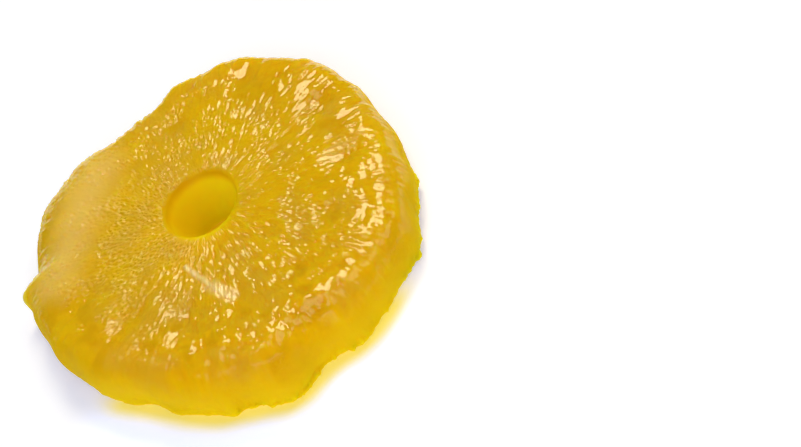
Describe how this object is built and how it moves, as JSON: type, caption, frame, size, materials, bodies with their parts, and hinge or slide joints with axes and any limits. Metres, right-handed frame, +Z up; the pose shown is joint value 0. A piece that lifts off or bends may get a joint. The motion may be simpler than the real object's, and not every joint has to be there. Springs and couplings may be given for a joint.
{
  "type": "pineapple ring",
  "caption": "Thick round slice of candied pineapple with a cored hole off its middle, radial fibres on its cut face and a wavy trimmed rim.",
  "frame": {"origin": "bottom centre of the slice's bounding box, on the surface it lies on", "axes": "+Z up through the slice's thickness, +Y to its far side, where the fruit's outline is widest, +X to its right"},
  "size_m": [0.0794, 0.0862, 0.0129],
  "materials": {
    "candied_flesh": "syrup-wet candied fruit, translucent and glossy"
  },
  "bodies": {
    "root": {"pineapple_slice": "candied_flesh"}
  },
  "joints": []
}
